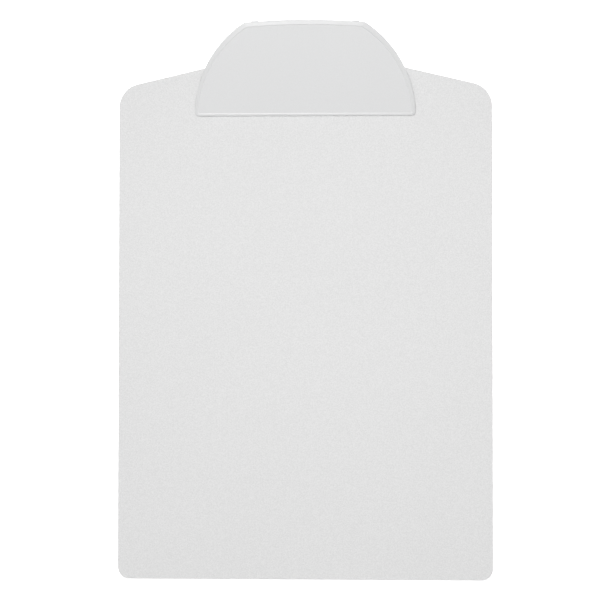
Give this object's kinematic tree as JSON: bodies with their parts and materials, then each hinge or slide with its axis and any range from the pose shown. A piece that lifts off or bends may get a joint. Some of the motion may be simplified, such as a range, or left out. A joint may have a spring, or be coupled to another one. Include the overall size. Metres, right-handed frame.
{
  "type": "clipboard",
  "caption": "Flat letter-size clipboard with a half-round, two-jaw squeeze clip on its top edge, closed by springs on a hinge pin.",
  "frame": {"origin": "middle of the outline in X and Y, on the clip's flat back face, which is the lowest face", "axes": "+X across the board to the right, +Y up the board towards the clip, +Z out of the writing face"},
  "size_m": [0.2286, 0.3418, 0.0195],
  "materials": {
    "board_plastic": "white moulded plastic with a fine, even grain",
    "clip_plastic": "smooth satin white plastic",
    "soft_strip": "soft matte light grey",
    "steel": "nickel-plated steel",
    "spring_steel": "drawn spring wire"
  },
  "bodies": {
    "base": {"board": "board_plastic", "rear_jaw": "clip_plastic", "hinge_pin": "steel", "pin_cap_left": "steel", "pin_cap_right": "steel", "torsion_spring_left": "spring_steel", "torsion_spring_right": "spring_steel", "rivet_inner_left": "steel", "rivet_inner_right": "steel", "rivet_outer_left": "steel", "rivet_outer_right": "steel", "rivet_washer_inner_left": "steel", "rivet_washer_inner_right": "steel", "rivet_washer_outer_left": "steel", "rivet_washer_outer_right": "steel"},
    "lever": {"front_jaw": "clip_plastic", "grip_strip": "soft_strip"}
  },
  "joints": [
    {"name": "jaw_hinge", "type": "hinge", "parent": "base", "child": "lever", "pos_m": [0, 0.15057, 0.0092], "axis": [-1, 0, 0], "range_deg": [0, 15], "stiffness_Nm_per_rad": 0.8, "springref_deg": -25.78, "deforming": ["torsion_spring_left", "torsion_spring_right"]}
  ]
}
